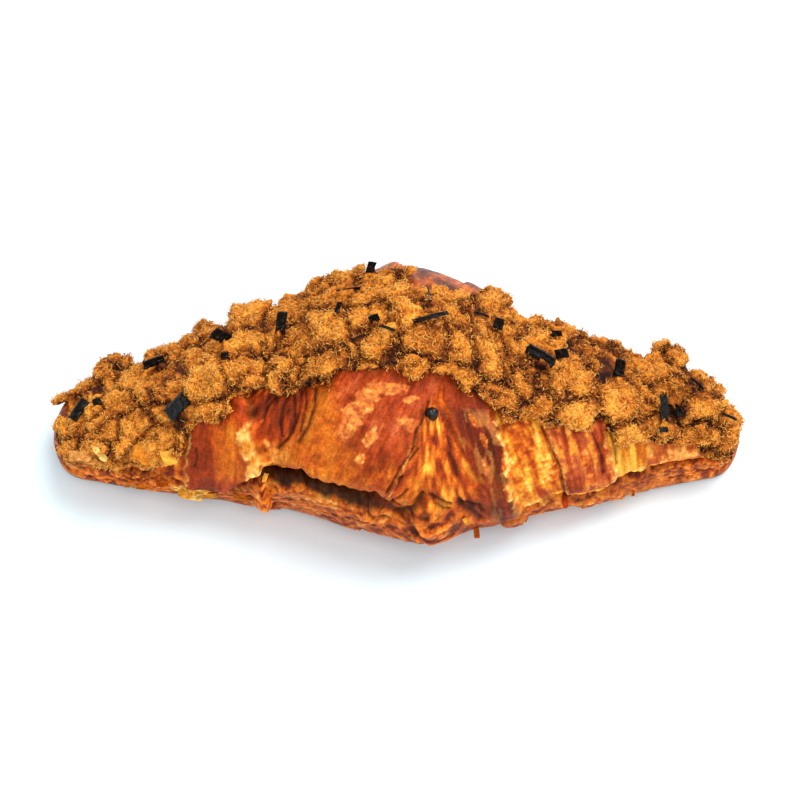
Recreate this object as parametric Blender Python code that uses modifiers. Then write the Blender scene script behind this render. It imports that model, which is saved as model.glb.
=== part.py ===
"""A croissant with pork floss and nori flakes along its crest.

Metres, +Z up. +X runs along the croissant, and -Y is the front, the side with the long slit.
The origin is the middle of the footprint, on the table.
Angles round the section are in degrees about its belly: 0 is the front, 90 the crest and 180 the back.
"""

import math
import random

import bmesh
import bpy
import numpy as np
from mathutils import Matrix, Vector, noise

# Driving dimensions
MM = 0.001
LENGTH = 0.180
HALF = LENGTH / 2
CENTRE_HALF_WIDTH = 0.0400
TIP_HALF_WIDTH = 0.0095
CENTRE_HEIGHT = 0.0535
TIP_HEIGHT = 0.0175
RIDGE_ROUNDING = 0.005
BELLY = 0.42
END_ROUNDING = 0.007
BED_HEIGHT = 0.0030
TUFT_SIZE = 0.0062
TUFT_SPACING = 0.0112
NORI_THICKNESS = 0.0008
BALL_RADIUS = 0.0017
GAP = 0.0006

# Fineness of the faceted solids
CRUST_RINGS = 66
CRUST_SIDES = 42
SIDES_FROM = (0, 14, 27, 33, 42)
ANGLES_FROM = (-25, 40, 140, 200, 335)
CAP_SHARE = 0.06
FACET_REACH = 0.0026
FACET_TURN = 5.0
BED_CELLS_LONG = 38
BED_CELLS_WIDE = 6
SEED = 7

# The wraps of the rolled dough, from left to right: where each edge crosses 60 degrees on the front,
# how far it leans towards +X for each degree further down, and how far the crust steps up going right.
WRAP_EDGES = (
    (-0.0525, -0.00003, 0.0014),
    (-0.0368, 0.00006, -0.0021),
    (-0.0205, -0.00022, 0.0020),
    (0.0090, -0.00024, -0.0013),
    (0.0120, 0.00019, 0.0009),
    (0.0241, 0.00011, -0.0014),
    (0.0360, 0.00014, 0.0011),
    (0.0532, 0.00007, -0.0008),
    (0.0640, 0.00002, -0.0009),
)
EDGE_SOFTNESS = 0.0009

# The seam between the upper wraps and the roll under them: x in millimetres, angle, depth in millimetres
SEAM = (
    (-88, 24, 1.0),
    (-78, 26, 1.4),
    (-66, 18, 1.2),
    (-56, 10, 1.0),
    (-50, -4, 0.6),
    (-44, -6, 0.8),
    (-37, 14, 2.0),
    (-33, 20, 4.0),
    (-27, 24, 4.4),
    (-20, 18, 4.4),
    (-14, 15, 4.0),
    (-4, 17, 3.0),
    (3, 8, 1.0),
    (10, -25, 0.3),
    (40, 0, 0.8),
    (52, -6, 1.0),
    (62, 9, 1.4),
    (68, 18, 1.4),
    (78, 23, 1.4),
    (88, 29, 1.0),
)

# Where the floss lies: x in millimetres, its front edge and its back edge in degrees
FLOSS_BED = (
    (-88, 30, 165),
    (-80, 26, 168),
    (-66, 20, 166),
    (-57, 24, 163),
    (-51, 52, 160),
    (-44, 64, 157),
    (-27, 71, 156),
    (-18, 72, 158),
    (-7, 70, 156),
    (-3, 70, 119),
    (15, 68, 117),
    (20, 60, 147),
    (27, 52, 147),
    (38, 51, 134),
    (48, 52, 138),
    (54, 60, 145),
    (61, 47, 155),
    (68, 38, 165),
    (80, 43, 168),
    (88, 40, 160),
)

# How high the tops of the clumps stand over the crust: x in millimetres, height in millimetres
HEAP = (
    (-90, 1.8),
    (-86, 2.4),
    (-77.5, 1.8),
    (-75, 6.5),
    (-72.5, 8.2),
    (-67, 6.4),
    (-63, 3.2),
    (-55, 4.8),
    (-51.5, 2.6),
    (-48, 2.6),
    (-44, 3.8),
    (-37, 4.0),
    (-32, 6.6),
    (-28, 4.2),
    (-24, 3.2),
    (-17, 4.2),
    (-6, 3.0),
    (8, 4.8),
    (16, 4.4),
    (22, 3.0),
    (35, 3.8),
    (41, 2.8),
    (58, 3.0),
    (63, 4.4),
    (67, 7.0),
    (72, 8.4),
    (80, 5.0),
    (84, 3.6),
    (88, 4.4),
)

# The nori flakes: x in millimetres, angle, length and width in millimetres, and turn in degrees from +X
NORI = (
    (-82.1, 83, 6.2, 2.6, 52),
    (-77.3, 87, 2.2, 2.0, 10),
    (-62.7, 114, 5.8, 2.4, 14),
    (-55.6, 69, 6.6, 4.2, 40),
    (-44.6, 112, 6.4, 3.2, -38),
    (-43.7, 96, 2.0, 1.8, 0),
    (-29.4, 114, 6.6, 2.6, 82),
    (-12.9, 118, 7.4, 1.0, 0),
    (-15.0, 107, 2.8, 1.4, 70),
    (-6.7, 132, 3.4, 2.2, 75),
    (-5.7, 97, 2.4, 2.0, 20),
    (-2.2, 91, 4.0, 1.0, -25),
    (8.4, 97, 9.6, 1.3, 18),
    (26.2, 110, 3.2, 2.2, 15),
    (36.6, 92, 8.0, 3.2, -24),
    (42.1, 98, 3.2, 2.4, 20),
    (41.2, 114, 2.8, 1.6, 10),
    (57.3, 102, 5.2, 2.4, 84),
    (68.3, 76, 8.0, 1.9, -84),
    (72.3, 76, 2.2, 2.0, 30),
    (68.1, 58, 2.4, 1.4, 10),
    (77.7, 113, 4.6, 1.0, -40),
    (86.0, 81, 4.4, 1.0, -10),
)
BALL_PLACE = (0.0089, 54)


def smooth_step(value, start, end):
    """0 before start, 1 after end, and an easy curve between them."""
    share = np.clip((value - start) / (end - start), 0.0, 1.0)
    return share * share * (3.0 - 2.0 * share)


def hump(value, centre, width):
    """A rounded bump of height 1."""
    return np.exp(-(((value - centre) / width) ** 2))


def along_table(rows, x, column):
    """Reads one column of a table whose first column is x in millimetres."""
    return np.interp(x / MM, [row[0] for row in rows], [row[column] for row in rows])


def taper(x):
    """1 at the middle of the croissant, falling nearly straight to 0 at its tips."""
    return 1.0 - np.sqrt((x / HALF) ** 2 + RIDGE_ROUNDING)


def half_width(x, angle):
    """Half the width at x: the back bulges, and the front is flattened most over the slit."""
    facing = np.cos(np.radians(angle))
    bulge = 0.0014 - 0.0026 * hump(x, -0.030, 0.030) - 0.0026 * hump(x, 0.045, 0.020)
    bulge = (bulge + 0.0046 * hump(x, 0.011, 0.018)) * np.clip(-facing, 0.0, 1.0)
    flattened = (0.0010 + 0.0052 * hump(x, -0.025, 0.025)) * np.clip(facing, 0.0, 1.0)
    return TIP_HALF_WIDTH + (CENTRE_HALF_WIDTH - TIP_HALF_WIDTH) * taper(x) + bulge - flattened


def crest_height(x):
    """The height of the crest above the table at x."""
    return TIP_HEIGHT + (CENTRE_HEIGHT - TIP_HEIGHT) * taper(x)


def end_scale(x):
    """Shrinks the section over the last few millimetres, which rounds the blunt ends."""
    past = np.clip((np.abs(x) - (HALF - END_ROUNDING)) / END_ROUNDING, 0.0, 1.0)
    return np.sqrt(np.clip(1.0 - past**2.4, 0.0, 1.0))


def smooth_reach(x, angle):
    """From the middle of the belly out to the smooth section: round above, squarer below."""
    belly = BELLY * crest_height(x)
    cosine = np.abs(np.cos(np.radians(angle)))
    sine = np.sin(np.radians(angle))
    upward = np.where(sine >= 0, crest_height(x) - belly, 1.12 * belly)
    power = np.where(sine >= 0, 2.0, 2.8)
    return ((cosine / half_width(x, angle)) ** power + (np.abs(sine) / upward) ** power) ** (-1 / power)


def relief(x, angle):
    """How far the crust stands out from its smooth section."""
    upper = smooth_step(angle, -50, -15) * smooth_step(-angle, -225, -190)
    from_front = np.where(angle > 90, 180 - angle, angle)
    out = -0.0004 + 0.0 * x * angle
    for edge_x, lean, step in WRAP_EDGES:
        place = edge_x + lean * (60 - from_front)
        out = out + step * smooth_step(x, place - EDGE_SOFTNESS, place + EDGE_SOFTNESS)
        high_side = np.sign(step) * (x - place)
        out = out + abs(step) * 0.4 * hump(high_side, 0.0016, 0.0022)
    # The groove of the seam, the roll that bulges under it and the lip over it
    depth = along_table(SEAM, x, 2) * MM
    below = along_table(SEAM, x, 1) - angle
    out = out - depth * hump(below, 0.0, 5.0)
    out = out + 0.35 * depth * hump(below, -9.0, 6.0)
    out = out + 0.30 * depth * hump(below, 14.0, 8.0)
    # The knob where the end of the dough curls under, with a hollow at its left
    out = out + 0.0030 * hump(x, 0.0085, 0.0070) * hump(angle, -8, 17)
    out = out - 0.0024 * hump(x, -0.0015, 0.0026) * hump(angle, 2, 7)
    # Stretched ridges, which fan out down the front
    fan = x / (1.0 - 0.0035 * np.clip(90 - angle, 0, 90))
    ridges = 0.00035 * np.sin(fan / 0.0021 + 1.3 * np.sin(fan / 0.017))
    out = out + ridges * smooth_step(angle, 5, 30)
    # The foot of the front is drawn in, most at the left
    out = out - (0.0012 + 0.0032 * hump(x, -0.036, 0.020)) * hump(angle, -32, 30)
    # Slow unevenness of a hand-rolled piece
    out = out + 0.0006 * np.sin(x / 0.013 + angle / 37) * np.sin(angle / 21 + 1.1)
    return out * upper


def crust_point(x, angle, out=0.0):
    """A point on the crust at x and angle, moved out from it by the distance given."""
    angle = (angle + 90) % 360 - 90
    reach = (smooth_reach(x, angle) + relief(x, angle)) * end_scale(x) + out
    across = -reach * np.cos(np.radians(angle))
    up = BELLY * crest_height(x) + reach * np.sin(np.radians(angle))
    return Vector((float(x), float(across), max(0.0, float(up))))


def clear_of_crust(x, angle):
    """How far out a flat facet of a topping has to stay to miss the crust's steps and ridges near here."""
    near_x = x + np.array([-1.0, -0.5, 0.0, 0.5, 1.0])[:, None] * FACET_REACH
    near_angle = angle + np.array([-1.0, -0.5, 0.0, 0.5, 1.0])[None, :] * FACET_TURN
    highest = float(np.max(relief(near_x, near_angle)))
    return highest - float(relief(x, angle)) + GAP


def crust_place(point):
    """The x, the angle and the distance out from the crust of any point near it."""
    x = max(-HALF, min(HALF, point.x))
    rise = point.z - BELLY * float(crest_height(x))
    angle = (math.degrees(math.atan2(rise, -point.y)) + 90) % 360 - 90
    reach = (smooth_reach(x, angle) + relief(x, angle)) * end_scale(x)
    return x, angle, math.hypot(rise, point.y) - float(reach)


def on_crust(x, angle, out):
    """A point over the crust, with the directions along the croissant, up its side and outwards."""
    point = crust_point(x, angle, out)
    along = (crust_point(x + 0.003, angle, out) - crust_point(x - 0.003, angle, out)).normalized()
    rising = (crust_point(x, angle + 5, out) - crust_point(x, angle - 5, out)).normalized()
    outward = rising.cross(along).normalized()
    return point, along, along.cross(outward), outward


def material(name, colour, roughness):
    made = bpy.data.materials.new(name)
    made.use_nodes = True
    shader = made.node_tree.nodes["Principled BSDF"]
    shader.inputs["Base Color"].default_value = (*colour, 1.0)
    shader.inputs["Roughness"].default_value = roughness
    shader.inputs["Metallic"].default_value = 0.0
    made.diffuse_color = (*colour, 1.0)
    return made


def object_from(bm, name, collection, finish=None):
    """Writes a bmesh to a new object, with its faces pointing out."""
    bmesh.ops.recalc_face_normals(bm, faces=bm.faces)
    if bm.calc_volume(signed=True) < 0:
        bmesh.ops.reverse_faces(bm, faces=bm.faces)
    mesh = bpy.data.meshes.new(name)
    bm.to_mesh(mesh)
    bm.free()
    made = bpy.data.objects.new(name, mesh)
    collection.objects.link(made)
    if finish:
        mesh.materials.append(finish)
    return made


def join(target, collection):
    """Joins a collection's objects to the target for good, and removes them."""
    modifier = target.modifiers.new("Union", "BOOLEAN")
    modifier.operation = "UNION"
    modifier.solver = "MANIFOLD"
    modifier.operand_type = "COLLECTION"
    modifier.collection = collection
    bpy.context.view_layer.update()
    evaluated = target.evaluated_get(bpy.context.evaluated_depsgraph_get())
    joined = bpy.data.meshes.new_from_object(evaluated)
    target.modifiers.remove(modifier)
    spent = target.data
    target.data = joined
    bpy.data.meshes.remove(spent)
    for used in list(collection.objects):
        bpy.data.objects.remove(used, do_unlink=True)
    bpy.data.collections.remove(collection)


def keep_outer_skin(target):
    """Drops the walls of any hollow that joining has sealed, and any loose scrap: the largest skin stays."""
    bm = bmesh.new()
    bm.from_mesh(target.data)
    left = set(bm.verts)
    skins = []
    while left:
        skin = set()
        front = {left.pop()}
        while front:
            skin |= front
            front = {edge.other_vert(vertex) for vertex in front for edge in vertex.link_edges} - skin
        left -= skin
        skins.append(skin)
    largest = max(skins, key=len)
    bmesh.ops.delete(bm, geom=[vertex for vertex in bm.verts if vertex not in largest], context="VERTS")
    bm.to_mesh(target.data)
    bm.free()


def croissant(collection, finish):
    """A sphere with its poles at the two tips: its rings spread along X, and its sides set on the crust."""
    bm = bmesh.new()
    bmesh.ops.create_uvsphere(bm, u_segments=CRUST_SIDES, v_segments=CRUST_RINGS, radius=1.0)
    flank = HALF - END_ROUNDING
    for vertex in bm.verts:
        ring = math.degrees(math.asin(max(-1.0, min(1.0, vertex.co.z)))) / 90
        past = (abs(ring) - (1 - CAP_SHARE)) / CAP_SHARE
        if past <= 0:
            x = flank * ring / (1 - CAP_SHARE)
        else:
            x = math.copysign(flank + END_ROUNDING * math.sin(past * math.pi / 2), ring)
        side = round(math.degrees(math.atan2(vertex.co.y, vertex.co.x)) % 360 / 360 * CRUST_SIDES, 3)
        angle = float(np.interp(side % CRUST_SIDES, SIDES_FROM, ANGLES_FROM))
        vertex.co = crust_point(x, angle)
    made = object_from(bm, "croissant", collection, finish)
    # The small black ball on the bare crust is stuck to it, so it is one with it
    toppings = bpy.data.collections.new("baked on")
    bpy.context.scene.collection.children.link(toppings)
    bm = bmesh.new()
    bmesh.ops.create_icosphere(bm, subdivisions=2, radius=BALL_RADIUS)
    bmesh.ops.translate(bm, vec=crust_point(*BALL_PLACE, BALL_RADIUS * 0.65), verts=bm.verts)
    object_from(bm, "ball", toppings)
    join(made, toppings)
    return made


def floss_bed(collection, finish):
    """The bed of the heap: a sheet that follows the crust, a gap above it, and thins out at its edges."""
    bm = bmesh.new()
    bmesh.ops.create_grid(bm, x_segments=BED_CELLS_LONG, y_segments=BED_CELLS_WIDE, size=1.0)
    raised = bmesh.ops.extrude_face_region(bm, geom=list(bm.faces), use_keep_orig=True)
    for vertex in [item for item in raised["geom"] if isinstance(item, bmesh.types.BMVert)]:
        vertex.co.z = 1.0
    for vertex in bm.verts:
        x = (HALF - 0.0050) * vertex.co.x
        share = (vertex.co.y + 1) / 2
        front = float(along_table(FLOSS_BED, x, 1)) + 4
        back = float(along_table(FLOSS_BED, x, 2)) - 4
        angle = front + (back - front) * share
        inside = min(1.0, min(share, 1 - share) * 5)
        lumps = 0.0008 * noise.noise(Vector((x / 0.008, angle / 12, 3.1)))
        under = clear_of_crust(x, angle)
        thick = min(BED_HEIGHT, 0.6 * heap_height(x))
        top = max(thick * (0.55 + 0.45 * inside) + lumps, under + 0.0010)
        vertex.co = crust_point(x, angle, top if vertex.co.z > 0.5 else under)
    return object_from(bm, "pork_floss", collection, finish)


def heap_height(x):
    """How high the tops of the clumps stand over the crust at x."""
    return float(along_table(HEAP, x, 1)) * MM


def tuft(collection, place, size, number):
    """One clump of floss: a small ball pushed in and out, which never reaches down to the crust."""
    height = heap_height(place[0])
    point, along, rising, outward = on_crust(*place, 0.35 * height)
    draw = random.Random(number)
    turn = draw.uniform(0, math.tau)
    first = (along * math.cos(turn) + rising * math.sin(turn)) * size * draw.uniform(0.95, 1.35)
    second = (rising * math.cos(turn) - along * math.sin(turn)) * size * draw.uniform(0.70, 1.0)
    thick = outward * height * draw.uniform(0.55, 0.80)
    bm = bmesh.new()
    bmesh.ops.create_icosphere(bm, subdivisions=2, radius=1.0)
    for vertex in bm.verts:
        local = vertex.co * (1 + 0.34 * noise.noise(vertex.co * 1.7 + Vector((number * 1.7, 0, 0))))
        vertex.co = point + first * local.x + second * local.y + thick * local.z
        x, angle, out = crust_place(vertex.co)
        lowest = clear_of_crust(x, angle) + 0.0003
        if out < lowest:
            vertex.co = crust_point(x, angle, lowest)
    return object_from(bm, f"tuft_{number:03d}", collection)


def nori_flake(collection, number, row):
    """A thin crinkled plate that lies on a clump of floss of its own."""
    x, angle, long_mm, wide_mm, turn = row
    support = max(0.0030, 0.42 * long_mm * MM)
    tuft(collection, (x * MM, angle), support, 500 + number)
    point, along, rising, outward = on_crust(x * MM, angle, 0.82 * heap_height(x * MM))
    turned = math.radians(turn)
    first = along * math.cos(turned) + rising * math.sin(turned)
    second = rising * math.cos(turned) - along * math.sin(turned)
    bm = bmesh.new()
    bmesh.ops.create_grid(bm, x_segments=4, y_segments=2, size=1.0)
    for vertex in bm.verts:
        wave = 0.0005 * math.sin(2.6 * vertex.co.x + number) + 0.0003 * vertex.co.y
        across = first * vertex.co.x * long_mm / 2 * MM + second * vertex.co.y * wide_mm / 2 * MM
        vertex.co = point + across + outward * wave
    made = object_from(bm, f"nori_{number:02d}", collection)
    thicken = made.modifiers.new("Solidify", "SOLIDIFY")
    thicken.thickness = NORI_THICKNESS
    thicken.offset = 0.0
    return made


def tuft_places():
    """Clumps in uneven rows over the bed of floss, half a clump inside its edges and clear of the nori's own."""
    draw = random.Random(SEED)
    taken = [crust_point(row[0] * MM, row[1]) for row in NORI]
    places = []
    reach = HALF - 0.0075
    columns = round(2 * reach / TUFT_SPACING)
    for column in range(columns + 1):
        x = -reach + column * 2 * reach / columns
        inset = math.degrees(0.8 * TUFT_SIZE / float(smooth_reach(x, 90.0)))
        front = float(along_table(FLOSS_BED, x, 1)) + inset
        back = float(along_table(FLOSS_BED, x, 2)) - inset
        around = math.radians(back - front) * float(smooth_reach(x, 90.0))
        rows = max(2, round(around / TUFT_SPACING))
        for row in range(rows + 1):
            place = (
                x + draw.uniform(-0.3, 0.3) * TUFT_SPACING,
                front + (back - front) * row / rows + draw.uniform(-3, 3),
            )
            if min((crust_point(*place) - other).length for other in taken) > 0.4 * TUFT_SPACING:
                places.append(place)
    return places


def pork_floss(collection, finish):
    """The whole heap as one solid: its bed, its clumps and the nori flakes on it."""
    heap = bpy.data.collections.new("heap")
    bpy.context.scene.collection.children.link(heap)
    draw = random.Random(SEED + 1)
    for number, place in enumerate(tuft_places()):
        tuft(heap, place, TUFT_SIZE * draw.uniform(0.8, 1.2), number)
    for number, row in enumerate(NORI):
        nori_flake(heap, number, row)
    heaped = floss_bed(collection, finish)
    join(heaped, heap)
    keep_outer_skin(heaped)
    return heaped


def stand_on_origin(pieces):
    """Moves the whole so that the middle of its box stands on the origin."""
    corners = [vertex.co for piece in pieces for vertex in piece.data.vertices]
    lowest = [min(corner[axis] for corner in corners) for axis in range(3)]
    highest = [max(corner[axis] for corner in corners) for axis in range(3)]
    middle = Vector(((lowest[0] + highest[0]) / 2, (lowest[1] + highest[1]) / 2, lowest[2]))
    for piece in pieces:
        piece.data.transform(Matrix.Translation(-middle))


def main():
    for old in list(bpy.data.objects):
        bpy.data.objects.remove(old, do_unlink=True)
    whole = bpy.data.collections.new("pork_floss_croissant")
    bpy.context.scene.collection.children.link(whole)
    baked = croissant(whole, material("baked crust", (0.52, 0.16, 0.05), 0.45))
    heaped = pork_floss(whole, material("pork floss", (0.55, 0.19, 0.035), 0.9))
    stand_on_origin([baked, heaped])


main()
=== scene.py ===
import math

import bpy
import numpy as np
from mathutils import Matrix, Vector
from mathutils.bvhtree import BVHTree


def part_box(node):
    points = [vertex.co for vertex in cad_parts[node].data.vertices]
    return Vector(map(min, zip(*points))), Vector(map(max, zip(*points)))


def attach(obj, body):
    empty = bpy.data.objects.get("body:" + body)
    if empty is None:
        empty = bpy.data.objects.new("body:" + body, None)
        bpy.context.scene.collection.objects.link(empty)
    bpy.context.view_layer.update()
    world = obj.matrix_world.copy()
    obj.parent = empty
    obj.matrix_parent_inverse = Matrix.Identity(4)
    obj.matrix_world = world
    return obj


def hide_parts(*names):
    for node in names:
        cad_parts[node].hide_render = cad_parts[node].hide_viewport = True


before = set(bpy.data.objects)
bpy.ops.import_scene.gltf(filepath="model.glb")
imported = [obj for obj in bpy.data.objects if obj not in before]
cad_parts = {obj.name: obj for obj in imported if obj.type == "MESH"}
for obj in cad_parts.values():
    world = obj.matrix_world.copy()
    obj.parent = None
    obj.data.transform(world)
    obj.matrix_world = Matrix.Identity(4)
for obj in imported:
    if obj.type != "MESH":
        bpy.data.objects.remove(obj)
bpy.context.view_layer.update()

# Studio: the croissant lies on a plain white table under a broad soft light from the upper right and behind.
# The camera looks down on its front side, as a hand-held close view does, with a long lens.
MM = 0.001
CAMERA_HEIGHT_ANGLE = math.radians(55)
CAMERA_DISTANCE = 0.60
FRAME_WIDTH = 0.2057
SENSOR_WIDTH = 36.0
LOOK_AT = Vector((0.0010, -0.0020, 0.0246))

looking = Vector((0, math.cos(CAMERA_HEIGHT_ANGLE), -math.sin(CAMERA_HEIGHT_ANGLE)))
camera = bpy.data.objects.new("camera", bpy.data.cameras.new("camera"))
camera.data.sensor_width = SENSOR_WIDTH
camera.data.lens = SENSOR_WIDTH * CAMERA_DISTANCE / FRAME_WIDTH
camera.data.clip_start = 0.01
camera.location = LOOK_AT - looking * CAMERA_DISTANCE
camera.rotation_euler = looking.to_track_quat("-Z", "Y").to_euler()
bpy.context.scene.collection.objects.link(camera)
bpy.context.scene.camera = camera

world = bpy.data.worlds.new("studio")
bpy.context.scene.world = world
world.use_nodes = True
world.node_tree.nodes["Background"].inputs["Color"].default_value = (0.84, 0.95, 1.0, 1)
world.node_tree.nodes["Background"].inputs["Strength"].default_value = 0.76
bpy.context.scene.view_settings.view_transform = "Standard"
bpy.context.scene.view_settings.look = "None"


def soft_light(name, place, size, power, colour):
    lamp = bpy.data.objects.new(name, bpy.data.lights.new(name, "AREA"))
    lamp.data.shape = "DISK"
    lamp.data.size = size
    lamp.data.energy = power
    lamp.data.color = colour
    lamp.location = place
    lamp.rotation_euler = (-Vector(place)).to_track_quat("-Z", "Y").to_euler()
    bpy.context.scene.collection.objects.link(lamp)


soft_light("window", (0.34, 0.22, 0.90), 0.80, 8.8, (1.0, 0.985, 0.96))
soft_light("fill", (0.10, -0.70, 0.85), 1.00, 6.6, (0.98, 0.99, 1.0))

bpy.ops.mesh.primitive_plane_add(size=6.0, location=(0, 0, -0.0001))
table = bpy.context.object
table.name = "table"
white = bpy.data.materials.new("white table")
white.use_nodes = True
white.node_tree.nodes["Principled BSDF"].inputs["Base Color"].default_value = (0.80, 0.89, 0.93, 1)
white.node_tree.nodes["Principled BSDF"].inputs["Roughness"].default_value = 0.7
table.data.materials.append(white)

# Baked crust: wheat dough with butter folded in, rolled up from a long triangle and baked until the wraps
# split and lift. Its wraps, seams and stretched skin are modelled on rings along X, at their true depth.
LENGTH = 0.180
HALF = LENGTH / 2
CENTRE_HALF_WIDTH = 0.0400
TIP_HALF_WIDTH = 0.0095
CENTRE_HEIGHT = 0.0535
TIP_HEIGHT = 0.0175
RIDGE_ROUNDING = 0.005
BELLY = 0.42
END_ROUNDING = 0.007
BODY_RINGS = 420
CAP_RINGS = 18
FRONT_SIDES = 202
BACK_SIDES = 84
FRONT_FROM = -28.0
FRONT_TO = 76.0

# Each wrap edge: x where it crosses 60 degrees on the front, lean in metres a degree, step up going right,
# and how softly it steps
WRAP_EDGES = (
    (-0.0525, -0.00003, 0.0014, 0.0006),
    (-0.0368, 0.00006, -0.0021, 0.0004),
    (-0.0205, -0.00022, 0.0020, 0.0030),
    (0.0090, -0.00024, -0.0013, 0.0004),
    (0.0120, 0.00019, 0.0009, 0.0008),
    (0.0241, 0.00011, -0.0014, 0.0005),
    (0.0360, 0.00014, 0.0011, 0.0008),
    (0.0532, 0.00007, -0.0008, 0.0005),
    (0.0640, 0.00002, -0.0009, 0.0006),
)
# Edges that stayed pale: number of the edge, width of the pale rim in metres, strength
PALE_EDGES = (
    (1, 0.0034, 1.0),
    (0, 0.0008, 0.35),
    (3, 0.0007, 0.4),
    (5, 0.0009, 0.5),
    (6, 0.0010, 0.4),
    (7, 0.0012, 0.5),
)
# The seam over the lower roll: x in millimetres, angle, depth in millimetres, strength of the painted shadow
# in the slit under it
SEAM = (
    (-88, 24, 1.0, 0.2),
    (-78, 22, 1.4, 0.5),
    (-66, 18, 1.2, 0.4),
    (-56, 8, 1.0, 0.3),
    (-50, -6, 0.6, 0.2),
    (-44, -8, 0.8, 0.2),
    (-37, 14, 2.0, 0.5),
    (-33, 19, 4.0, 1.0),
    (-27, 22, 4.4, 1.0),
    (-23.6, 23, 4.4, 1.0),
    (-21, 18, 4.4, 1.0),
    (-17, 15.5, 4.2, 1.0),
    (-9, 14, 4.0, 1.0),
    (-4, 16, 2.6, 0.8),
    (3, 8, 1.0, 0.2),
    (10, -25, 0.3, 0.0),
    (40, 3, 0.8, 0.2),
    (52, 2, 1.0, 0.3),
    (59.7, 15, 1.4, 0.4),
    (68, 18, 1.4, 0.4),
    (78, 22, 1.4, 0.4),
    (88, 29, 1.0, 0.3),
)
# Which way the stretched skin runs: x in millimetres, metres towards +X for each degree down
GRAIN = (
    (-90, 0.00002),
    (-52, -0.00004),
    (-38, -0.00002),
    (-30, -0.00006),
    (-22, -0.00024),
    (0, -0.00030),
    (8, -0.00016),
    (13, 0.00016),
    (24, 0.00012),
    (38, 0.00015),
    (53, 0.00007),
    (64, 0.00003),
    (90, 0.0),
)


def smooth_step(value, start, end):
    share = np.clip((value - start) / (end - start), 0.0, 1.0)
    return share * share * (3.0 - 2.0 * share)


def hump(value, centre, width):
    return np.exp(-(((value - centre) / width) ** 2))


def along_table(rows, x, column):
    return np.interp(x / MM, [row[0] for row in rows], [row[column] for row in rows])


# Large primes that scramble the number of a cell into a random value
CELL_PRIMES = np.array([73856093, 19349663, 83492791])
MIXING_PRIME = 1274126177


def speckle(points, cell, seed):
    """Smooth random unevenness from -1 to 1 over points, with lumps about one cell across."""
    scaled = np.asarray(points, float) / cell
    base = np.floor(scaled).astype(np.int64)
    part = scaled - base
    part = part * part * (3 - 2 * part)
    total = np.zeros(scaled.shape[:-1])
    for corner in range(8):
        step = np.array([corner & 1, corner >> 1 & 1, corner >> 2 & 1])
        key = (base + step + seed * 131) @ CELL_PRIMES
        key = (key ^ (key >> 13)) * MIXING_PRIME & 0xFFFFFFFF
        value = ((key ^ (key >> 16)) & 0xFFFF) / 32767.5 - 1
        weight = np.prod(np.where(step, part, 1 - part), axis=-1)
        total = total + value * weight
    return total


def rough(points, cell, seed, layers=3):
    """Unevenness on several scales, each half as large and half as strong as the one before."""
    total = sum(speckle(points, cell / 2**n, seed + 17 * n) / 2**n for n in range(layers))
    return total / (2 - 2.0 ** (1 - layers))


def taper(x):
    return 1.0 - np.sqrt((x / HALF) ** 2 + RIDGE_ROUNDING)


def half_width(x, angle):
    facing = np.cos(np.radians(angle))
    bulge = 0.0014 - 0.0026 * hump(x, -0.030, 0.030) - 0.0026 * hump(x, 0.045, 0.020)
    bulge = (bulge + 0.0046 * hump(x, 0.011, 0.018)) * np.clip(-facing, 0.0, 1.0)
    flattened = (0.0010 + 0.0052 * hump(x, -0.025, 0.025)) * np.clip(facing, 0.0, 1.0)
    return TIP_HALF_WIDTH + (CENTRE_HALF_WIDTH - TIP_HALF_WIDTH) * taper(x) + bulge - flattened


def crest_height(x):
    return TIP_HEIGHT + (CENTRE_HEIGHT - TIP_HEIGHT) * taper(x)


def end_scale(x):
    past = np.clip((np.abs(x) - (HALF - END_ROUNDING)) / END_ROUNDING, 0.0, 1.0)
    return np.sqrt(np.clip(1.0 - past**2.4, 0.0, 1.0))


def smooth_reach(x, angle):
    """From the middle of the belly out to the smooth section: round above, squarer below."""
    belly = BELLY * crest_height(x)
    cosine = np.abs(np.cos(np.radians(angle)))
    sine = np.sin(np.radians(angle))
    upward = np.where(sine >= 0, crest_height(x) - belly, 1.12 * belly)
    power = np.where(sine >= 0, 2.0, 2.8)
    return ((cosine / half_width(x, angle)) ** power + (np.abs(sine) / upward) ** power) ** (-1 / power)


def dough_place(x, angle):
    """Where a point was on the flat dough: along the roll, and round it, in metres."""
    return np.stack([x + 0 * angle, np.radians(angle) * smooth_reach(x, 40.0), 0 * x * angle], axis=-1)


def from_front(angle):
    return np.where(angle > 90, 180 - angle, angle)


def grain_place(x, angle, stretch):
    """Like the dough place, but sheared along the stretched skin and squeezed along its fibres."""
    across = x + along_table(GRAIN, x, 1) * (from_front(angle) - 60)
    return np.stack([across, np.radians(angle) * smooth_reach(x, 40.0) / stretch, 0 * across], axis=-1)


def edge_place(row, x, angle, ragged=0.0010):
    """The x of a wrap's torn edge at an angle."""
    dough = dough_place(0 * x + row[0], angle)
    seed = int(abs(row[0]) * 1e5)
    torn = rough(dough, 0.0060, seed) + 0.5 * speckle(dough, 0.0016, seed + 1)
    torn = torn + 0.3 * speckle(dough, 0.0007, 5)
    return row[0] + row[1] * (60 - from_front(angle)) + ragged * torn


def seam_place(x, angle):
    """The angle of the seam's torn lip at x."""
    dough = dough_place(x, 0 * angle)
    return along_table(SEAM, x, 1) + 1.3 * rough(dough, 0.007, 31) + 0.8 * speckle(dough, 0.0013, 32)


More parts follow.
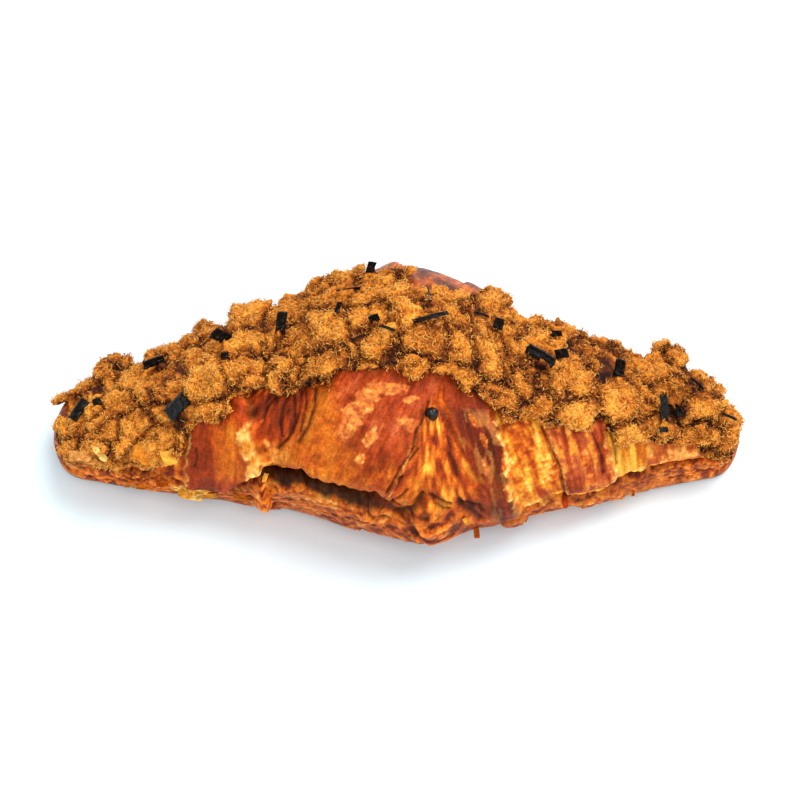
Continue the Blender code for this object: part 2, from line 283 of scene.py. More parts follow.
def main_relief(x, angle):
    """The large relief: wraps that step up and down, the seam, the roll under it and the curled knob."""
    out = -0.0004 + 0.0 * x * angle
    for row in WRAP_EDGES:
        place = edge_place(row, x, angle)
        out += row[2] * smooth_step(x, place - row[3], place + row[3])
        high_side = np.sign(row[2]) * (x - place)
        out += abs(row[2]) * 0.35 * hump(high_side, 0.0012 + row[3], 0.0018 + row[3]) * (angle > -18)
    depth = along_table(SEAM, x, 2) * MM
    below = seam_place(x, angle) - angle
    out -= depth * (0.80 * hump(below, 1.0, 2.2) + 0.45 * hump(below, 2.5, 5.0))
    out += 0.35 * depth * hump(below, -8.0, 5.0)
    out += 0.25 * depth * hump(below, 14.0, 8.0)
    out += 0.0030 * hump(x, 0.0085, 0.0070) * hump(angle, -8, 17)
    out -= 0.0024 * hump(x, -0.0015, 0.0026) * hump(angle, 2, 7)
    out -= (0.0012 + 0.0032 * hump(x, -0.036, 0.020)) * hump(angle, -32, 30)
    out += 0.0006 * np.sin(x / 0.013 + angle / 37) * np.sin(angle / 21 + 1.1)
    return out


def between(x, angle, left, right, soft=0.0005):
    """1 on the wraps from one edge to another, given by their numbers, and 0 beyond."""
    inside = np.ones(np.broadcast(x, angle).shape)
    if left is not None:
        place = edge_place(WRAP_EDGES[left], x, angle)
        inside = inside * smooth_step(x, place - soft, place + soft)
    if right is not None:
        place = edge_place(WRAP_EDGES[right], x, angle)
        inside = inside * (1 - smooth_step(x, place - soft, place + soft))
    return inside


def line_distance(line, x, angle):
    """The distance over the crust from each place to a line through given places."""
    here = dough_place(x, angle)
    corners = [dough_place(np.array(px * MM), np.array(float(pa))) for px, pa in line]
    nearest = np.full(here.shape[:-1], 1.0)
    for first, second in zip(corners, corners[1:]):
        run = second - first
        share = np.clip(((here - first) @ run) / max(run @ run, 1e-12), 0, 1)
        nearest = np.minimum(nearest, np.linalg.norm(here - first - share[..., None] * run, axis=-1))
    return nearest


def patch(row, x, angle, ragged, seed):
    """Above 0 inside an oval patch with a ragged rim: its place, half sizes in millimetres and turn."""
    centre_x, centre_angle, half_long, half_wide, turn = row
    offset = dough_place(x, angle) - dough_place(np.array(centre_x * MM), np.array(float(centre_angle)))
    turned = math.radians(turn)
    first = (offset[..., 0] * math.cos(turned) + offset[..., 1] * math.sin(turned)) / (half_long * MM)
    second = (offset[..., 1] * math.cos(turned) - offset[..., 0] * math.sin(turned)) / (half_wide * MM)
    return 1 - np.hypot(first, second) + ragged * rough(dough_place(x, angle), 0.0036, seed, 4)


def tone(red, green, blue):
    """A colour as a screen shows it, turned into light."""
    shown = np.array([red, green, blue], float) / 255
    return np.where(shown <= 0.04045, shown / 12.92, ((shown + 0.055) / 1.055) ** 2.4)


def shade(position, *stops):
    """Reads a colour from a row of stops, from dark at 0 to light at 1."""
    places = np.linspace(0, 1, len(stops))
    position = np.clip(position, 0, 1)
    return np.stack([np.interp(position, places, [stop[c] for stop in stops]) for c in range(3)], axis=-1)


def laid_over(below, above, cover):
    return below * (1 - cover[..., None]) + above * cover[..., None]


# This near-black colour is painted shadow in the splits and the slit, and the darkest stop of the left end's
# colour
NEAR_BLACK = tone(30, 12, 6)
DEEP = tone(80, 28, 8)
RED_BROWN = tone(132, 44, 12)
RED = tone(164, 58, 16)
ROSE = tone(178, 80, 40)
ORANGE = tone(196, 90, 18)
OCHRE = tone(200, 108, 28)
AMBER = tone(216, 128, 34)
YELLOW = tone(236, 164, 56)
TAN = tone(222, 146, 70)
CREAM = tone(244, 198, 108)

# Splits in the skin: width and depth in millimetres, then the line's places, x in millimetres and angle
CRACKS = (
    (0.35, 0.7, ((7.9, 59), (6.6, 51), (4.9, 46), (4.4, 41), (3.7, 37), (1.0, 31), (-0.7, 25), (-2.4, 20))),
    (0.35, 0.6, ((1.4, 26), (-0.3, 21))),
    (0.30, 0.5, ((5.4, 38), (3.2, 33))),
    (0.35, 0.6, ((2.7, 20), (0.0, 15), (-1.6, 12))),
    (1.10, 1.6, ((6.4, 17), (4.9, 12), (3.4, 8), (0.4, 4))),
    (0.35, 0.5, ((-7.2, 14), (-6.9, 9.5), (-6.9, 5), (-5.4, 3))),
    (0.40, 0.6, ((-5.4, 3), (-4.2, 0), (-1.6, -2))),
    (0.35, 0.4, ((-18.8, -14), (-14.8, -10), (-9.8, -3), (-6.9, -1))),
    (0.45, 0.6, ((8.3, 17.5), (10.8, 15), (13.4, 12.5))),
    (0.35, 0.5, ((9.8, 13.5), (11.6, 11), (13.1, 10))),
    (0.50, 0.7, ((-25.2, 76), (-25.4, 63), (-25.1, 52), (-27.1, 42), (-29.5, 36))),
    (0.45, 0.6, ((-26.6, 72), (-28.6, 58), (-28.9, 52), (-28.4, 44))),
    (0.45, 0.6, ((-19.9, 70), (-20.1, 60), (-21.6, 50), (-24.2, 41))),
    (0.35, 0.5, ((-22.6, 72), (-22.3, 60), (-23.8, 47))),
    (0.45, 0.6, ((-28.5, 73), (-32.0, 63), (-33.2, 56))),
    (0.30, 0.4, ((-23.6, 70), (-23.9, 58), (-25.6, 46), (-27.8, 40))),
    (0.80, 0.9, ((15.6, 13), (17.6, 8), (19.6, 3), (21.2, -3))),
    (0.50, 0.6, ((16.4, 12), (20.6, 9), (21.6, 4))),
    (0.35, 0.5, ((36.2, 52), (39.4, 36), (41.4, 24), (42.6, 8), (42.9, -4))),
    (0.35, 0.4, ((49.2, 50), (51.6, 36), (52.6, 20))),
    (0.35, 0.4, ((53.6, 56), (55.4, 40), (55.9, 26))),
    (0.30, 0.4, ((-50.6, 40), (-50.2, 34), (-51.0, 26))),
)
# Pale blisters on the centre wrap, where a thin outer skin stays light: place, half sizes and turn
BLISTERS = (
    (-8.6, 59, 8.5, 2.9, 52),
    (-12.2, 47, 4.0, 2.4, 50),
    (-3.0, 65, 5.0, 2.4, 12),
    (-6.6, 43, 3.4, 1.7, 62),
    (-9.0, 34, 2.2, 1.0, 55),
    (2.6, 49, 2.0, 2.6, 80),
    (3.8, 60, 2.2, 1.2, 20),
)
# Tan bits of skin further right: place, half sizes and turn
SKIN_BITS = (
    (19.0, 52, 2.4, 0.7, -62),
    (21.6, 43, 2.2, 0.6, -66),
    (27.4, 31, 3.6, 1.3, -72),
    (27.8, 16, 2.4, 1.1, -80),
    (22.2, 30, 1.4, 0.5, -60),
    (39.0, 22, 3.4, 2.6, -50),
    (36.8, 34, 3.0, 1.8, -70),
    (47.6, 30, 2.6, 1.2, -80),
    (49.6, 17, 2.4, 1.0, -70),
    (61.8, 19, 3.2, 1.6, 10),
    (-32.8, 39, 1.6, 1.4, 80),
    (-33.0, 27, 1.8, 1.2, 20),
)


def crust_layers(X, A):
    """The fine relief in metres and the colour of the crust at each place of a grid, with its painted shade
    and light.
    """
    upper = smooth_step(A, -52, -18) * smooth_step(-A, -225, -190)
    dough = dough_place(X, A)
    streaks = rough(grain_place(X, A, 5.5), 0.0019, 3, 3)
    fine = rough(grain_place(X, A, 7), 0.0009, 9, 2)
    crumbs = rough(dough, 0.0018, 50, 3)
    grit = rough(dough, 0.0008, 51, 2)
    mottle = rough(grain_place(X, A, 1.8), 0.0050, 71, 3)
    below = seam_place(X, A) - A
    seam_depth = along_table(SEAM, X, 2) / 4.4
    under_seam = smooth_step(below, -0.3, 0.5) * upper

    # Two fans of stretched skin: one hangs from under the black ball, one from the floss further left
    drop = np.clip(66 - A, 0, 200)
    share = (X - 0.0086 - 0.00004 * drop) / (0.0016 + 0.00020 * drop)
    fan = hump(share, 0.05, 0.85) * smooth_step(drop, 3, 14) * (A < 90)
    fan_lines = np.stack([share * 0.0060, drop * 0.00010, 0 * X], axis=-1)
    fan_streaks = 0.6 * rough(fan_lines, 0.0016, 12, 3) + 0.5 * rough(fan_lines, 0.0006, 13, 2)
    left_drop = np.clip(96 - A, 0, 200)
    left_share = (X + 0.0235 + 0.00006 * left_drop) / (0.0030 + 0.00016 * left_drop)
    left_fan = between(X, A, 1, 2, 0.002) * smooth_step(A, 32, 44) * (A < 100)
    left_lines = np.stack([left_share * 0.0042, left_drop * 0.00008, 0 * X], axis=-1)
    left_streaks = 0.7 * rough(left_lines, 0.0015, 21, 3) + 0.4 * rough(left_lines, 0.0006, 22, 2)

    central = between(X, A, 2, 3, 0.0008)
    blister = np.max([patch(row, X, A, 0.85, 200 + n) for n, row in enumerate(BLISTERS)], axis=0)
    blister = blister + 0.30 * rough(dough, 0.0012, 205, 2)
    blister = smooth_step(blister + 0.25 * streaks, 0.0, 0.26) * central * (1 - under_seam)
    bits = np.max([patch(row, X, A, 0.60, 230 + n) for n, row in enumerate(SKIN_BITS)], axis=0)
    bits = smooth_step(bits, 0.0, 0.15) * (1 - under_seam)

    detail = 0.00016 * streaks + 0.00014 * fine + 0.00014 * crumbs + 0.00006 * grit
    detail = detail * (1 - 0.3 * central * (1 - fan))
    detail = detail * (1 - fan) * (1 - left_fan)
    detail += fan * 0.00042 * fan_streaks + left_fan * 0.00075 * left_streaks
    detail += blister * (0.00016 + 0.00020 * crumbs + 0.00012 * grit)
    detail += bits * (0.00022 + 0.00015 * crumbs)
    tips = smooth_step(np.abs(X - 0.008), 0.058, 0.075)
    detail += tips * (0.00032 * crumbs + 0.00022 * grit)
    detail += under_seam * (0.00024 * rough(dough, 0.0032, 60, 3) + 0.00014 * crumbs + 0.00012 * grit)
    knob = hump(X, 0.0085, 0.0080) * hump(A, -6, 19)
    curl = np.hypot((X - 0.0098) / 0.0062, (A - 8) / 14)
    curl_lines = np.sin(curl * 9 + 3.0 * rough(dough, 0.004, 62, 3))
    detail += knob * 0.00035 * curl_lines
    detail += knob * 0.00030 * crumbs

    colour = shade(0.45 + 0.5 * streaks + 0.2 * crumbs, RED_BROWN, RED, ORANGE, AMBER)
    tip_colour = shade(0.45 + 0.6 * crumbs + 0.3 * streaks, DEEP, RED_BROWN, ORANGE, AMBER)
    colour = laid_over(colour, tip_colour, between(X, A, None, 0))
    lit = hump(X, -0.0420, 0.0055) * smooth_step(A, 2, 20) * (1 - smooth_step(A, 48, 64))
    lit_share = 0.31 + 0.50 * lit + 0.22 * streaks + 0.12 * fine
    colour = laid_over(colour, shade(lit_share, DEEP, RED_BROWN, RED, ORANGE, AMBER), between(X, A, 0, 1))
    # The left fan is coloured dark: real streaks, with painted shade from the floss that hangs over it.
    left_colour = shade(0.42 + 0.80 * left_streaks, DEEP, RED_BROWN, RED, ORANGE, AMBER)
    pit = shade(0.48 + 0.5 * crumbs + 0.3 * grit, RED_BROWN, OCHRE, TAN)
    colour = laid_over(colour, laid_over(pit, left_colour, left_fan), between(X, A, 1, 2))

    rosy = shade(0.36 + 0.45 * mottle + 0.30 * fine + 0.30 * crumbs, RED_BROWN, RED, ROSE, tone(192, 88, 42))
    ochre = shade(0.42 + 0.45 * mottle + 0.40 * crumbs, tone(160, 66, 24), ORANGE, OCHRE, AMBER)
    toward_left = 1 - smooth_step(X + 0.0002 * (A - 45), -0.0150, -0.0085)
    colour = laid_over(colour, laid_over(rosy, ochre, toward_left), central)
    peach = (ROSE, tone(200, 104, 42), tone(212, 124, 54), tone(228, 154, 78))
    colour = laid_over(colour, shade(0.46 + 0.5 * crumbs + 0.50 * grit, *peach), blister * 0.92)
    speckled = shade(0.4 + 0.6 * grit + 0.5 * crumbs, RED_BROWN, ORANGE, AMBER)
    low_centre = central * hump(A, 24, 9) * smooth_step(rough(dough, 0.005, 77, 2), -0.4, 0.2)
    colour = laid_over(colour, speckled, low_centre * 0.7)

    strip = between(X, A, 4, 5)
    strip_colour = shade(0.24 + 0.5 * streaks + 0.3 * fine, DEEP, tone(108, 34, 14), RED_BROWN, RED)
    flecks = smooth_step(rough(grain_place(X, A, 3.2), 0.0017, 81, 2), 0.22, 0.36) * (A < 58)
    colour = laid_over(colour, laid_over(strip_colour, 0 * strip_colour + TAN, flecks * 0.30), strip)
    behind = smooth_step(A, 98, 112) * (1 - smooth_step(A, 200, 215))
    behind_colour = shade(0.24 + 0.5 * crumbs + 0.4 * mottle, DEEP, tone(122, 52, 12), ORANGE, OCHRE, AMBER)
    colour = laid_over(colour, behind_colour, behind * between(X, A, 2, 8))
    smooth_top = strip * smooth_step(A, 54, 60) * (A < 95)
    colour = laid_over(colour, shade(0.6 + 0.4 * mottle, DEEP, tone(120, 40, 14), RED), smooth_top)
    bright_share = 0.30 + 0.5 * streaks + 0.30 * crumbs + 0.45 * fine + 0.25 * grit
    colour = laid_over(colour, shade(bright_share, RED, ORANGE, AMBER, YELLOW, CREAM), between(X, A, 5, 6))
    streaked_share = 0.34 + 0.8 * streaks + 0.35 * crumbs + 0.3 * fine
    streaked = shade(streaked_share, RED_BROWN, RED, ROSE, AMBER, TAN)
    colour = laid_over(colour, streaked, between(X, A, 6, 7))
    seventh_share = 0.70 + 0.5 * streaks + 0.3 * fine + 0.55 * smooth_step(-A, -34, -14)
    colour = laid_over(colour, shade(seventh_share, RED, ORANGE, AMBER, YELLOW), between(X, A, 7, 8))
    tip_share = 0.40 + 0.5 * streaks + 0.45 * crumbs + 0.32
    tip_colour = shade(tip_share, DEEP, RED_BROWN, ROSE, ORANGE, TAN)
    colour = laid_over(colour, tip_colour, between(X, A, 8, None))
    fan_share = 0.40 + 0.95 * fan_streaks + 0.18 * hump(share, -0.25, 0.5)
    fan_colour = shade(fan_share, DEEP, RED_BROWN, RED, ORANGE, AMBER, YELLOW)
    colour = laid_over(colour, fan_colour, np.clip(fan * 1.35, 0, 1) * (1 - 0.5 * under_seam))
    bit_colour = shade(0.35 + 0.6 * crumbs + 0.5 * grit, RED, OCHRE, TAN, CREAM)
    colour = laid_over(colour, bit_colour, bits * 0.7)

    # Torn edges stay pale, because the inside of a layer browns last
    for number, width, strength in PALE_EDGES:
        row = WRAP_EDGES[number]
        inward = np.sign(row[2]) * (X - edge_place(row, X, A))
        width = width * (1 + 0.60 * rough(dough, 0.004, 90 + number, 3))
        pale = smooth_step(inward, -0.0004, 0.0002) * (1 - smooth_step(inward, width * 0.8, width))
        edge_colour = shade(0.66 + 0.5 * crumbs + 0.4 * grit, ORANGE, AMBER, TAN, CREAM)
        shown = pale * strength * (A > -12) * smooth_step(52 + 6 * crumbs - A, 0, 5)
        colour = laid_over(colour, edge_colour, shown * (1 - under_seam))
        detail += pale * strength * 0.00025 * (1 + crumbs)
    frill = hump(below, -1.6 + 0.8 * grit, 1.5) * smooth_step(X, 0.030, 0.045) * upper
    frill = frill + 0.6 * hump(below, -1.2, 1.2) * smooth_step(-X, 0.050, 0.060) * upper
    lip = hump(below, -1.0, 1.2) * (seam_depth > 0.5) * smooth_step(crumbs, -0.2, 0.3) * upper
    frill_colour = shade(0.6 + 0.5 * grit + 0.5 * crumbs, ORANGE, AMBER, YELLOW)
    colour = laid_over(colour, frill_colour, np.clip(frill + 0.8 * lip, 0, 1))
    detail += 0.00030 * np.clip(frill + lip, 0, 1) * (1 + grit)

    roll_share = 0.50 + 0.32 * rough(dough, 0.004, 95, 3) + 0.35 * crumbs + 0.40 * grit
    roll_colour = shade(roll_share, DEEP, RED_BROWN, ORANGE, OCHRE, TAN)
    colour = laid_over(colour, roll_colour, under_seam * (1 - 0.75 * fan))
    knob_share = 0.38 + 0.20 * curl_lines + 0.4 * crumbs + 0.4 * grit
    knob_colour = shade(knob_share, DEEP, RED_BROWN, ORANGE, OCHRE, AMBER)
    colour = laid_over(colour, knob_colour, np.clip(knob * 1.3, 0, 1))
    frayed = (patch((-52.6, -6, 4.4, 2.4, 0), X, A, 0.8, 260) > 0) * upper
    colour = laid_over(colour, shade(0.6 + 0.6 * grit, AMBER, YELLOW, CREAM), frayed * 0.9)
    dark_end = smooth_step(-X, 0.0790, 0.0840) * hump(A, 22, 14)
    colour = laid_over(colour, shade(0.4 + 0.6 * crumbs, NEAR_BLACK, DEEP, RED_BROWN), dark_end)

    # Painted shade darkens the grooves of the fine relief and painted light brightens its raised parts, and
    # the splits get painted shadow
    relief_shading = np.clip(detail / 0.00034, -1.2, 1.2)
    colour = colour * np.exp(0.42 * relief_shading)[..., None]
    for width, depth, line in CRACKS:
        away = line_distance(line, X, A) / (width * MM * (1 + 0.5 * fine))
        detail -= depth * MM * np.exp(-(away**2)) * upper
        # Each split is laid over in near black: painted shadow.
        colour = laid_over(colour, 0 * colour + NEAR_BLACK, 0.85 * np.exp(-((away * 1.1) ** 2)) * upper)
    # Painted shadow: the slit under the seam's lip is laid over in near black.
    slit_end = 9.0 + 2.0 * rough(dough, 0.003, 97, 2)
    slit = smooth_step(below, -0.6, 0.6) * (1 - smooth_step(below, slit_end - 2.5, slit_end + 1.0))
    slit = slit * along_table(SEAM, X, 3)
    colour = laid_over(colour, 0 * colour + NEAR_BLACK, np.clip(slit, 0, 1) * upper * 0.94)
    base_share = 0.5 + 0.5 * rough(dough, 0.006, 99, 3)
    base_colour = shade(base_share, tone(110, 56, 26), tone(150, 84, 40), tone(180, 112, 56))
    colour = laid_over(colour, base_colour, 1 - smooth_step(upper, 0.0, 0.5))
    return detail * upper, upper, colour


def crust_grid(side_angles, centring):
    """Points, colours and dough places of the crust over every ring, at the angles given."""
    X, A = np.meshgrid(ring_x, (side_angles + 90) % 360 - 90, indexing="ij")
    detail, upper, colour = crust_layers(X, A)
    reach = (smooth_reach(X, A) + main_relief(X, A) * upper + detail) * end_scale(X)
    across = -reach * np.cos(np.radians(A))
    rise = np.maximum(0.0, BELLY * crest_height(X) + reach * np.sin(np.radians(A)))
    return np.stack([X, across, rise], axis=-1) + np.array(centring), colour, X, A


cap_turns = np.linspace(0, math.pi / 2, CAP_RINGS + 2)[1:-1]
flank = HALF - END_ROUNDING
right_cap = flank + END_ROUNDING * np.sin(cap_turns)
ring_x = np.concatenate([-right_cap[::-1], flank * np.linspace(-1, 1, BODY_RINGS), right_cap])
front_angles = np.linspace(FRONT_FROM, FRONT_TO, FRONT_SIDES + 1)
back_angles = np.linspace(FRONT_TO, 360 + FRONT_FROM, BACK_SIDES + 1)

# The solid stands with the middle of its whole box on the origin, so the crust is moved the same way
crust_low, crust_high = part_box("croissant")
probe_x, probe_angle = np.meshgrid(np.linspace(-HALF, HALF, 400), np.linspace(-90, 90, 360), indexing="ij")
probe_reach = (smooth_reach(probe_x, probe_angle) + main_relief(probe_x, probe_angle)) * end_scale(probe_x)
probe_front = float((-probe_reach * np.cos(np.radians(probe_angle)))[probe_angle > -50].min())
CENTRING = Vector(((crust_low.x + crust_high.x) / 2, crust_low.y - probe_front, crust_low.z))


def crust_surface(x, angle, out=0.0):
    """Points on the large relief of the crust, moved out by the distance given, in the table's frame."""
    x = np.asarray(x, float)
    angle = np.asarray(angle, float)
    reach = (smooth_reach(x, angle) + main_relief(x, angle)) * end_scale(x) + out
    rise = BELLY * crest_height(x) + reach * np.sin(np.radians(angle))
    across = -reach * np.cos(np.radians(angle))
    return np.stack([x + 0 * reach, across, np.maximum(rise, 0.0)], axis=-1) + np.array(CENTRING)


def grid_faces(rows, columns):
    """Four-sided faces between neighbouring rows and columns of points."""
    here = np.arange(rows - 1)[:, None] * columns + np.arange(columns - 1)[None, :]
    return np.stack([here, here + columns, here + columns + 1, here + 1], axis=-1).reshape(-1, 4)


def mesh_piece(name, points, faces, finish):
    """Makes one named piece from points and a list of faces."""
    mesh = bpy.data.meshes.new(name)
    points = np.asarray(points, np.float32).reshape(-1, 3)
    sizes = np.array([len(face) for face in faces], np.int32)
    mesh.vertices.add(len(points))
    mesh.vertices.foreach_set("co", points.ravel())
    mesh.loops.add(int(sizes.sum()))
    mesh.loops.foreach_set("vertex_index", np.concatenate([np.asarray(f, np.int32) for f in faces]))
    mesh.polygons.add(len(sizes))
    mesh.polygons.foreach_set("loop_start", np.concatenate([[0], np.cumsum(sizes)[:-1]]).astype(np.int32))
    mesh.update(calc_edges=True)
    mesh.validate()
    mesh.shade_smooth()
    piece = bpy.data.objects.new(name, mesh)
    bpy.context.scene.collection.objects.link(piece)
    mesh.materials.append(finish)
    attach(piece, "root")
    return piece


def paint(piece, name, values):
    """Stores a value, a colour or a vector for each point of a piece."""
    values = np.asarray(values, np.float32)
    if name.endswith("colour"):
        layer = piece.data.attributes.new(name, "FLOAT_COLOR", "POINT")
        opaque = np.ones((len(values), 1), np.float32)
        layer.data.foreach_set("color", np.concatenate([values, opaque], 1).ravel())
    else:
        layer = piece.data.attributes.new(name, "FLOAT_VECTOR", "POINT")
        layer.data.foreach_set("vector", values.ravel())


def shader_node(made, kind, **settings):
    node = made.node_tree.nodes.new(kind)
    for name, value in settings.items():
        setattr(node, name, value)
    return node


def finish_of(name, roughness, layer=None):
    """A new material, its shader, and the painted layer that its colour comes from."""
    made = bpy.data.materials.new(name)
    made.use_nodes = True
    shader = made.node_tree.nodes["Principled BSDF"]
    shader.inputs["Roughness"].default_value = roughness
    source = shader_node(made, "ShaderNodeAttribute", attribute_name=layer) if layer else None
    return made, shader, source


def varied(made, source, vector, scale, low, high, layers=4.0):
    """Darkens and lightens a colour by a fine noise, and returns the new colour and the noise."""
    links = made.node_tree.links
    noise = shader_node(made, "ShaderNodeTexNoise")
    noise.inputs["Scale"].default_value = scale
    noise.inputs["Detail"].default_value = layers
    links.new(vector, noise.inputs["Vector"])
    span = shader_node(made, "ShaderNodeMapRange")
    span.inputs["From Min"].default_value = 0.30
    span.inputs["From Max"].default_value = 0.70
    span.inputs["To Min"].default_value = low
    span.inputs["To Max"].default_value = high
    links.new(noise.outputs["Fac"], span.inputs["Value"])
    times = shader_node(made, "ShaderNodeVectorMath", operation="SCALE")
    links.new(source, times.inputs[0])
    links.new(span.outputs["Result"], times.inputs["Scale"])
    return times.outputs["Vector"], noise.outputs["Fac"]


def bumped(made, shader, heights, distance):
    """Adds fine bumps from a list of noises with their strengths."""
    normal = None
    for height, strength in heights:
        bump = shader_node(made, "ShaderNodeBump")
        bump.inputs["Strength"].default_value = strength
        bump.inputs["Distance"].default_value = distance
        made.node_tree.links.new(height, bump.inputs["Height"])
        if normal is not None:
            made.node_tree.links.new(normal, bump.inputs["Normal"])
        normal = bump.outputs["Normal"]
    made.node_tree.links.new(normal, shader.inputs["Normal"])


crust_finish, crust_shader, painted = finish_of("baked crust", 0.42, "crust_colour")
crust_links = crust_finish.node_tree.links
dough_layer = shader_node(crust_finish, "ShaderNodeAttribute", attribute_name="dough_place").outputs["Vector"]
grain_layer = shader_node(crust_finish, "ShaderNodeAttribute", attribute_name="grain_place").outputs["Vector"]
shaded, grain = varied(crust_finish, painted.outputs["Color"], dough_layer, 1700, 0.76, 1.22)
shaded, fibre = varied(crust_finish, shaded, grain_layer, 1300, 0.76, 1.22)
shaded, cloud = varied(crust_finish, shaded, dough_layer, 640, 0.80, 1.18)
crust_links.new(shaded, crust_shader.inputs["Base Color"])
gloss = shader_node(crust_finish, "ShaderNodeMapRange")
gloss.inputs["To Min"].default_value = 0.26
gloss.inputs["To Max"].default_value = 0.62
crust_links.new(cloud, gloss.inputs["Value"])
crust_links.new(gloss.outputs["Result"], crust_shader.inputs["Roughness"])
crust_shader.inputs["Specular IOR Level"].default_value = 0.08
bumped(crust_finish, crust_shader, [(grain, 0.5), (fibre, 0.6)], 0.0004)

for name, angles in (("crust", front_angles), ("crust_back", back_angles)):
    points, colour, X, A = crust_grid(angles, CENTRING)
    faces = list(grid_faces(len(ring_x), len(angles)))
    dough = dough_place(X, A).reshape(-1, 3)
    grains = grain_place(X, A, 3.2).reshape(-1, 3)
    tips = np.array([[side * HALF, 0, BELLY * TIP_HEIGHT] for side in (-1, 1)]) + np.array(CENTRING)
    last = (len(ring_x) - 1) * len(angles)
    for column in range(len(angles) - 1):
        faces.append((len(dough), column, column + 1))
        faces.append((len(dough) + 1, last + column + 1, last + column))
    piece = mesh_piece(name, np.concatenate([points.reshape(-1, 3), tips]), faces, crust_finish)
    paint(piece, "crust_colour", np.concatenate([colour.reshape(-1, 3), [DEEP, DEEP]]))
    paint(piece, "dough_place", np.concatenate([dough, tips]))
    paint(piece, "grain_place", np.concatenate([grains, tips]))
    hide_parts("croissant")

# Bed of the floss: dried, shredded pork that has matted into clumps over the crest. It keeps the outline of
# the solid heap, broken into lumps with deep gaps between them that are darkened with painted shade, and the
# loose threads grow from it.
BED_VOXEL = 0.00062
CLUMP_SIZE = 0.0106
LUMP_SIZE = 0.0050
heap_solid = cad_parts["pork_floss"]
bed = bpy.data.objects.new("floss_bed", heap_solid.data.copy())
bpy.context.scene.collection.objects.link(bed)
remesh = bed.modifiers.new("Remesh", "REMESH")
remesh.mode = "VOXEL"
remesh.voxel_size = BED_VOXEL
bpy.context.view_layer.update()
bed.data = bpy.data.meshes.new_from_object(bed.evaluated_get(bpy.context.evaluated_depsgraph_get()))
bed.modifiers.clear()


def points_of(mesh, what="vertices", field="co"):
    values = np.empty(len(getattr(mesh, what)) * 3, np.int32 if field == "vertices" else np.float32)
    getattr(mesh, what).foreach_get(field, values)
    return values.reshape(-1, 3) if field == "vertices" else values.reshape(-1, 3).astype(float)


def clumps(points, size, seed):
    """Splits space into uneven cells: how deep each point lies inside its cell, 0 at a border, and a
    random number from -1 to 1 for the cell."""
    scaled = points / size
    base = np.floor(scaled).astype(np.int64)
    nearest = np.full(len(points), 9.0)
    second = np.full(len(points), 9.0)
    owner = np.zeros(len(points))
    for step in np.ndindex(3, 3, 3):
        cell = base + np.array(step) - 1
        key = (cell + seed * 57) @ CELL_PRIMES
        parts = []
        for salt in (1, 2, 3, 4):
            mixed = (key ^ (key >> 13) ^ salt * 668265263) * MIXING_PRIME & 0xFFFFFFFF
            parts.append(((mixed ^ (mixed >> 16)) & 0xFFFF) / 65535.0)
        centre = cell + 0.12 + 0.76 * np.stack(parts[:3], axis=-1)
        away = np.linalg.norm(scaled - centre, axis=-1)
        closer = away < nearest
        second = np.where(closer, nearest, np.minimum(second, away))
        owner = np.where(closer, parts[3] * 2 - 1, owner)
        nearest = np.where(closer, away, nearest)
    return second - nearest, owner


bed_points = points_of(bed.data)
bed_normals = np.array([tuple(normal.vector) for normal in bed.data.vertex_normals])
outward = bed_points - np.array(CENTRING)
outward[:, 2] -= BELLY * crest_height(outward[:, 0])
outward[:, 0] = 0
outward = outward / np.maximum(np.linalg.norm(outward, axis=1), 1e-6)[:, None]
facing_out = smooth_step((bed_normals * outward).sum(1), -0.35, 0.15)
wander = np.stack([rough(bed_points, 0.0055, 400 + axis, 3) for axis in range(3)], axis=-1)
warped = bed_points + 0.0034 * wander
inside_clump, clump_number = clumps(warped, CLUMP_SIZE, 3)
inside_lump, lump_number = clumps(warped, LUMP_SIZE, 4)
clump_gap = 1 - smooth_step(inside_clump, 0.01, 0.17)
lump_gap = 1 - smooth_step(inside_lump, 0.01, 0.22)
crumbly = 0.0011 * rough(bed_points, 0.0036, 8, 2) + 0.0006 * rough(bed_points, 0.0014, 9, 2)
swelling = 0.0004 + 0.0006 * clump_number + 0.0006 * lump_number + crumbly
sunk = swelling - 0.0024 * clump_gap - 0.0008 * lump_gap
bed_points = bed_points + bed_normals * (sunk * facing_out)[:, None]
bed.data.vertices.foreach_set("co", bed_points.astype(np.float32).ravel())
bed.data.shade_smooth()
bed.data.update()

FLOSS_PIT = tone(40, 17, 9)
FLOSS_DARK = tone(92, 40, 15)
FLOSS_TOAST = tone(156, 80, 24)
FLOSS_GOLD = tone(208, 120, 34)
FLOSS_BRIGHT = tone(238, 156, 56)
FLOSS_PALE = tone(248, 182, 86)

# How bright the floss is: painted shade in the gaps between clumps and lumps, each clump with its own tone
bed_level = 0.95 + 0.10 * clump_number + 0.10 * lump_number
bed_level -= 0.66 * (1 - smooth_step(inside_clump, 0.0, 0.22))
bed_level -= 0.24 * (1 - smooth_step(inside_lump, 0.0, 0.20))
bed_level -= 0.30 * smooth_step(rough(warped, 0.0046, 302, 3), 0.12, 0.50)
# Painted light: the floss is made lighter towards its left end.
bed_level += 0.05 * smooth_step(-warped[:, 0], 0.0, 0.05)
bed_level += 0.12 * rough(warped, 0.0110, 301, 2)
bed_tones = shade(bed_level - 0.12, FLOSS_PIT, FLOSS_DARK, FLOSS_TOAST, FLOSS_GOLD, FLOSS_BRIGHT)
bed_finish, bed_shader, bed_source = finish_of("matted floss", 0.85, "bed_colour")
bed_place = shader_node(bed_finish, "ShaderNodeTexCoord").outputs["Object"]
bed_tint, bed_noise = varied(bed_finish, bed_source.outputs["Color"], bed_place, 1500, 0.40, 1.60, 5.0)
bed_finish.node_tree.links.new(bed_tint, bed_shader.inputs["Base Color"])
bed_shader.inputs["Specular IOR Level"].default_value = 0.15
bumped(bed_finish, bed_shader, [(bed_noise, 1.0)], 0.0009)
bed.data.materials.clear()
bed.data.materials.append(bed_finish)
paint(bed, "bed_colour", bed_tones)
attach(bed, "root")
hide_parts("pork_floss")

